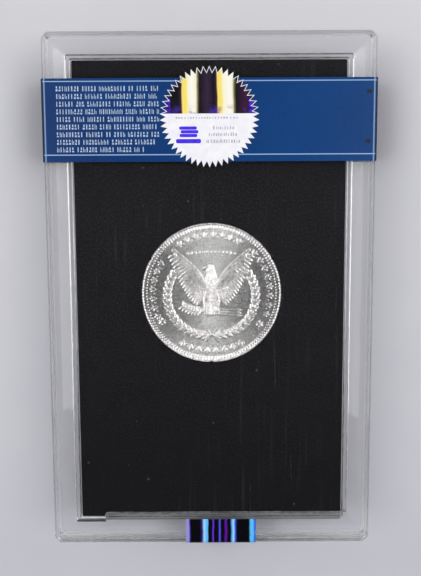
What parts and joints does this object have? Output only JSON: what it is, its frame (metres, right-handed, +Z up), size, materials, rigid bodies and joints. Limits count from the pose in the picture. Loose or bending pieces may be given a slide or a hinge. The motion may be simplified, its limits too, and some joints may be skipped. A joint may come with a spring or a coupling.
{
  "type": "graded coin slab",
  "caption": "Flat clear welded case around a black insert that grips a large silver coin, with a wrap-around label band, a serrated round seal and a folded edge strip.",
  "frame": {"origin": "on the plane that the slab rests on, below the middle of its outline", "axes": "+Z up out of the rear face, which shows; +Y towards the top end of the case, where the band is; +X to the right seen from the rear"},
  "size_m": [0.0878, 0.1384, 0.0102],
  "materials": {
    "rear_clear_plastic": "clear moulded polystyrene, polished faces, fine handling scratches",
    "front_clear_plastic": "clear moulded polystyrene, polished faces, fine handling scratches",
    "rear_black_plate": "black, finely grained, with a light fleck",
    "front_black_plate": "black, finely grained, with a pale printed frame",
    "coin_silver": "struck silver, bright with a soft radial lustre",
    "printed_blue_film": "satin dark blue printed film with pale lines",
    "seal_foil": "white and mirror foil label with coloured vertical sheen",
    "strip_foil": "dark mirror foil film with blue and violet vertical sheen"
  },
  "bodies": {
    "root": {"rear_shell": "rear_clear_plastic", "front_shell": "front_clear_plastic", "rear_insert": "rear_black_plate", "front_insert": "front_black_plate", "silver_coin": "coin_silver", "label_band": "printed_blue_film", "round_seal": "seal_foil", "edge_strip": "strip_foil"}
  },
  "joints": []
}
